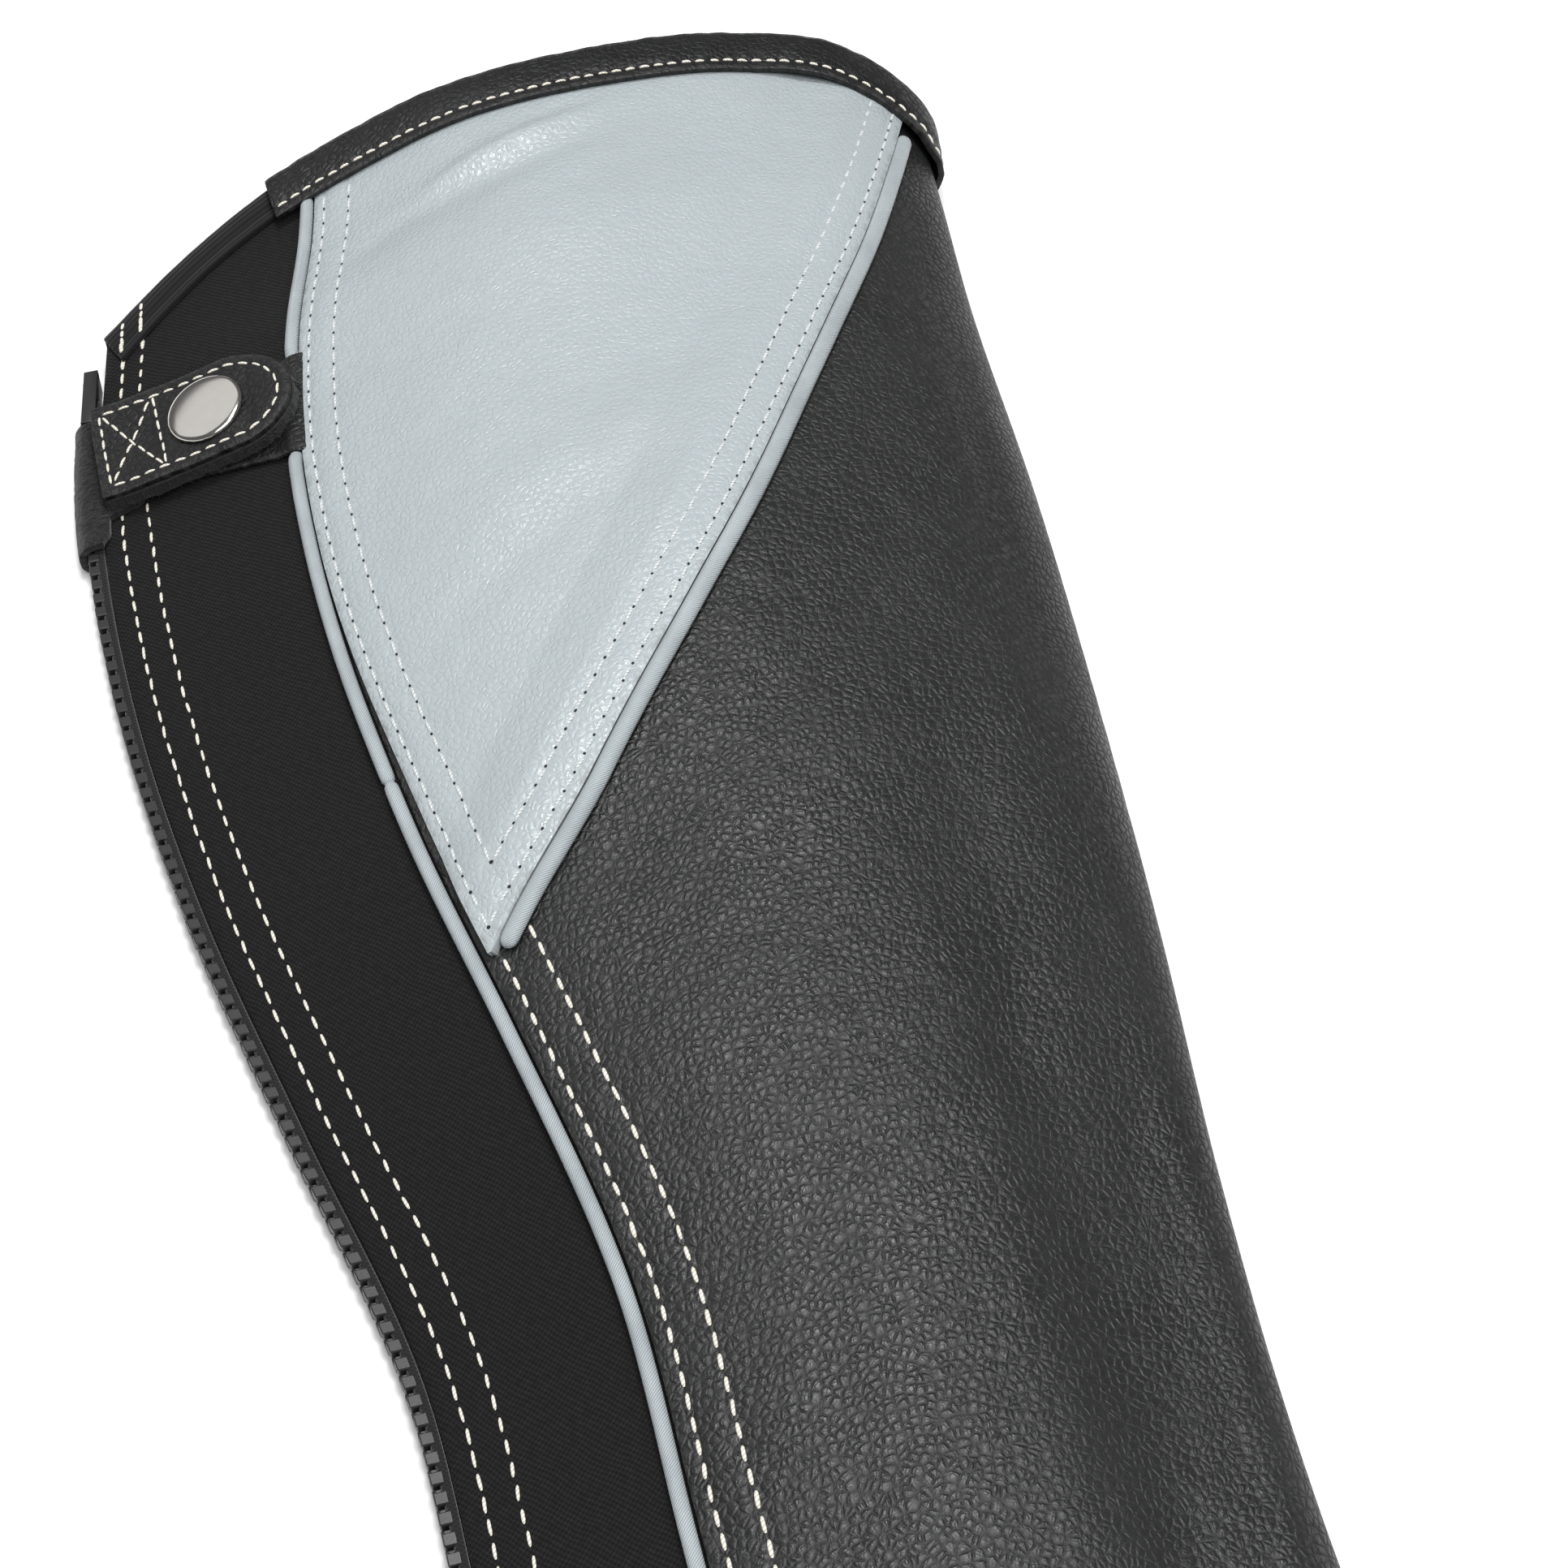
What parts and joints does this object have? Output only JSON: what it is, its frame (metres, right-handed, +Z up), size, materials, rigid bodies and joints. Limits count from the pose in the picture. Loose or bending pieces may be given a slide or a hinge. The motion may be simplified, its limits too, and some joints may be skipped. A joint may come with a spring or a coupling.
{
  "type": "half chap",
  "caption": "Leather half chap for one lower leg, lying on its side: stretch back, full-length back zip, pale calf panel with piping, bound top and a snap tab over the zip.",
  "frame": {"origin": "middle of the part's footprint, on the floor it lies on", "axes": "+Y from the ankle end to the knee end, +X from the zip to the front fold, +Z up from the inner side to the outer side"},
  "size_m": [0.1924, 0.4368, 0.0373],
  "materials": {
    "black_leather": "satin, fine pebbled grain",
    "pale_leather": "satin, fine creased grain",
    "stretch_cloth": "matt fine weave",
    "piping": "fine diagonal rib over a cord",
    "elastic": "ribbed along its length",
    "zip_tape": "matt woven tape",
    "zip_teeth": "moulded, slightly shiny",
    "zip_slider": "black enamel",
    "felt": "fuzzy matt felt",
    "snap_metal": "polished nickel"
  },
  "bodies": {
    "root": {"main_panel": "black_leather", "inner_panel": "black_leather", "calf_panel": "pale_leather", "stretch_panel": "stretch_cloth", "back_piping": "piping", "calf_back_piping_lower": "piping", "calf_back_piping_upper": "piping", "calf_front_piping": "piping", "top_binding": "black_leather", "cloth_binding": "elastic", "hem_binding": "black_leather", "zip_tape_outer": "zip_tape", "zip_tape_inner": "zip_tape", "zip_teeth": "zip_teeth", "zip_slider": "zip_slider", "snap_tab": "black_leather", "tab_backing": "felt", "snap_cap": "snap_metal", "tab_base": "black_leather", "tab_loop": "felt"}
  },
  "joints": []
}
